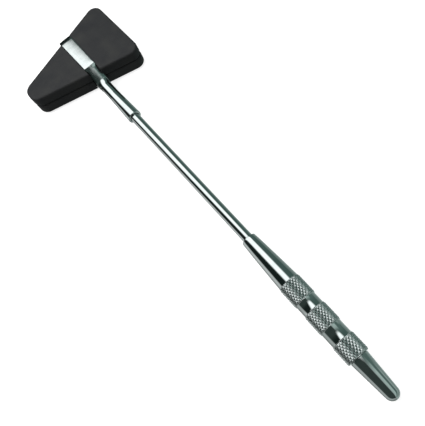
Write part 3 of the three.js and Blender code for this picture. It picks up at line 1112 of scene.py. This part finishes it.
def make_world():
    """A soft studio for the chrome to show: a white window overhead in a dim, greenish room.

    roll is the angle from overhead towards +X, seen along the handle, and lift is the angle
    from straight across the handle towards +Y, both in degrees.
    """
    world = bpy.data.worlds.new("studio")
    bpy.context.scene.world = world
    world.use_nodes = True
    tree = world.node_tree
    tree.nodes.clear()
    sums = Sums(tree)
    place = tree.nodes.new("ShaderNodeTexCoord")
    split = tree.nodes.new("ShaderNodeSeparateXYZ")
    tree.links.new(place.outputs["Generated"], split.inputs[0])
    x, y, z = split.outputs
    roll = sums.do("MULTIPLY", sums.do("ARCTAN2", x, z), 180 / math.pi)
    lift = sums.do("MULTIPLY", sums.do("ARCSINE", y), 180 / math.pi)

    left = sums.do("MULTIPLY_ADD", lift, WINDOW_LEFT_SLOPE, WINDOW_LEFT)
    widening = sums.step(lift, *WINDOW_WIDENING_LIFTS)
    right = sums.do("MULTIPLY_ADD", widening, WINDOW_WIDENING, WINDOW_RIGHT)
    right = sums.do("MULTIPLY_ADD", lift, WINDOW_RIGHT_SLOPE, right)
    top = sums.do("MULTIPLY_ADD", roll, WINDOW_TOP_SLOPE, z)
    window = sums.between(roll, left, right, WINDOW_EDGE)
    window = sums.do("MULTIPLY", window, sums.step(lift, *WINDOW_LIFTS))
    window = sums.do("MULTIPLY", window, sums.step(top, *WINDOW_TOP_HEIGHTS))

    panel = sums.between(roll, *PANEL_ROLLS, PANEL_EDGE)
    panel = sums.do("MULTIPLY", panel, sums.step(lift, *PANEL_LIFTS))
    rim = sums.between(roll, *RIM_ROLLS, RIM_EDGE)
    rim = sums.do("MULTIPLY", rim, sums.step(lift, *RIM_LIFTS))
    right_side = sums.step(roll, *RIGHT_SIDE_ROLLS)
    right_side = sums.do("MULTIPLY", right_side, sums.step(lift, *RIGHT_SIDE_LIFTS))
    tail_side = sums.step(lift, *TAIL_SIDE_LIFTS)

    under = sums.step(roll, *TABLE_UNDER_ROLLS)
    table_left = sums.do("MULTIPLY_ADD", under, TABLE_UNDER_GLOW, TABLE_LEFT_GLOW)
    band = sums.between(roll, *TABLE_BAND_ROLLS, TABLE_BAND_EDGE)
    table_left = sums.do("MULTIPLY_ADD", band, TABLE_BAND_GLOW, table_left)
    table_left = sums.do("MULTIPLY", table_left, sums.step(roll, *TABLE_LEFT_ROLLS))
    dimmed = sums.do("MULTIPLY_ADD", sums.step(lift, *TABLE_DIMMING_LIFTS), TABLE_DIMMING, 1)
    table_left = sums.do("MULTIPLY", table_left, dimmed)
    table_right = sums.do("MULTIPLY", sums.step(roll, *TABLE_RIGHT_ROLLS), TABLE_RIGHT_GLOW)
    far_right = sums.step(roll, *TABLE_FAR_RIGHT_ROLLS)
    table_right = sums.do("MULTIPLY_ADD", far_right, TABLE_FAR_RIGHT_GLOW, table_right)
    table = sums.do("ADD", table_left, table_right)
    table = sums.do("MULTIPLY", table, sums.step(lift, *TABLE_LIFTS))

    def tinted(colour, amount, total):
        node = tree.nodes.new("ShaderNodeVectorMath")
        node.operation = "MULTIPLY_ADD"
        node.inputs[0].default_value = colour
        tree.links.new(amount, node.inputs[1])
        if total is not None:
            tree.links.new(total, node.inputs[2])
        return node.outputs[0]

    room = None
    for colour, amount in (
        (RIGHT_SIDE_COLOUR, right_side),
        (WINDOW_COLOUR, window),
        (PANEL_COLOUR, panel),
        (RIM_COLOUR, rim),
        (TABLE_COLOUR, table),
        (TAIL_SIDE_COLOUR, tail_side),
    ):
        room = tinted(colour, amount, room)
    lifted = tree.nodes.new("ShaderNodeVectorMath")
    lifted.operation = "ADD"
    lifted.inputs[1].default_value = ROOM_COLOUR
    tree.links.new(room, lifted.inputs[0])

    shown = tree.nodes.new("ShaderNodeBackground")
    tree.links.new(lifted.outputs[0], shown.inputs["Color"])
    plain = tree.nodes.new("ShaderNodeBackground")
    plain.inputs["Color"].default_value = (1, 1, 1, 1)
    overhead = sums.step(z, *DIFFUSE_HORIZON)
    strength = sums.do("MULTIPLY", overhead, DIFFUSE_SKY - DIFFUSE_GROUND)
    tree.links.new(sums.do("ADD", strength, DIFFUSE_GROUND), plain.inputs["Strength"])
    path = tree.nodes.new("ShaderNodeLightPath")
    mix = tree.nodes.new("ShaderNodeMixShader")
    tree.links.new(path.outputs["Is Glossy Ray"], mix.inputs[0])
    tree.links.new(plain.outputs[0], mix.inputs[1])
    tree.links.new(shown.outputs[0], mix.inputs[2])
    output = tree.nodes.new("ShaderNodeOutputWorld")
    tree.links.new(mix.outputs[0], output.inputs["Surface"])


# ---------------------------------------------------------------- places from the frame

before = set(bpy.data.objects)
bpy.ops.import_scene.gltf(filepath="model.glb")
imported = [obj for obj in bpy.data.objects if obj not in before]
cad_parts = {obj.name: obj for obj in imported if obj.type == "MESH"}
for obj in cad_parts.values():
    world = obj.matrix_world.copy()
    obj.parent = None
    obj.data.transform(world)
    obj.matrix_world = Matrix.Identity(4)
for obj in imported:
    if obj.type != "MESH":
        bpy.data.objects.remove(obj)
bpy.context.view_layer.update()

rod_low, rod_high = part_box("shaft_rod")
AXIS_Z = (rod_low.z + rod_high.z) / 2
head_low, head_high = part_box("rubber_head")
HEAD_NARROW_REACH = -head_low.x
HEAD_BROAD_REACH = head_high.x
strap_low, strap_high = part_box("head_strap")
FOLD_Y = strap_high.y
NECK_FRONT_BACK = -strap_low.y + SEAT_GAP
NECK_END_BACK = -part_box("neck_socket")[0].y
grip_low, grip_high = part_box("handle_grip")
GRIP_FRONT_BACK = -grip_high.y
GRIP_END_BACK = -grip_low.y
FIRST_BAND_BACK = GRIP_FRONT_BACK + CONE_LENGTH
TAIL_TIP_BACK = -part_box("tail_cap")[0].y
stem_low, stem_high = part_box("brush_stem")
STEM_DEEP_BACK = -stem_low.y
STEM_FRONT_BACK = -stem_high.y
ferrule_low, ferrule_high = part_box("brush_ferrule")
FERRULE_END_BACK = -ferrule_low.y
FERRULE_FRONT_BACK = -ferrule_high.y
bristle_low, bristle_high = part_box("brush_bristles")
BRISTLE_ROOT_BACK = -bristle_low.y
BRISTLE_TIP_BACK = -bristle_high.y
BRUSH_BORE_END_BACK = BRISTLE_TIP_BACK - BRUSH_END_SPACE

# ---------------------------------------------------------------- the object

strap_chrome = chrome("strap_chrome_plate", STRAP_WAVINESS, STRAP_ROUGHNESS)
handle_chrome = chrome("handle_chrome_plate", HANDLE_WAVINESS, HANDLE_ROUGHNESS)
grip_chrome = knurled_chrome("grip_chrome_plate", HANDLE_WAVINESS, HANDLE_ROUGHNESS)
black_rubber = rubber()
bright_brass = brass()
pale_bristle = bristle()

pieces = [
    (rubber_head, "rubber_head", "hammer", "rubber", black_rubber),
    (head_strap, "head_strap", "hammer", "strap_chrome", strap_chrome),
    (neck_socket, "neck_socket", "hammer", "strap_chrome", handle_chrome),
    (shaft_rod, "shaft_rod", "hammer", "handle_chrome", handle_chrome),
    (handle_grip, "handle_grip", "hammer", "handle_chrome", grip_chrome),
    (tail_cap, "tail_cap", "cap_and_brush", "handle_chrome", handle_chrome),
    (brush_stem, "brush_stem", "cap_and_brush", "brass", bright_brass),
    (brush_ferrule, "brush_ferrule", "cap_and_brush", "brass", bright_brass),
    (brush_bristles, "brush_bristles", "cap_and_brush", "bristle", pale_bristle),
]
for build, node, body, slot, material in pieces:
    piece = build()
    piece.data.materials.clear()
    piece.data.materials.append(material)
    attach(piece, body)
    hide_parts(node)

make_camera()
make_floor()
make_light()
make_world()
bpy.context.scene.view_settings.view_transform = "Standard"
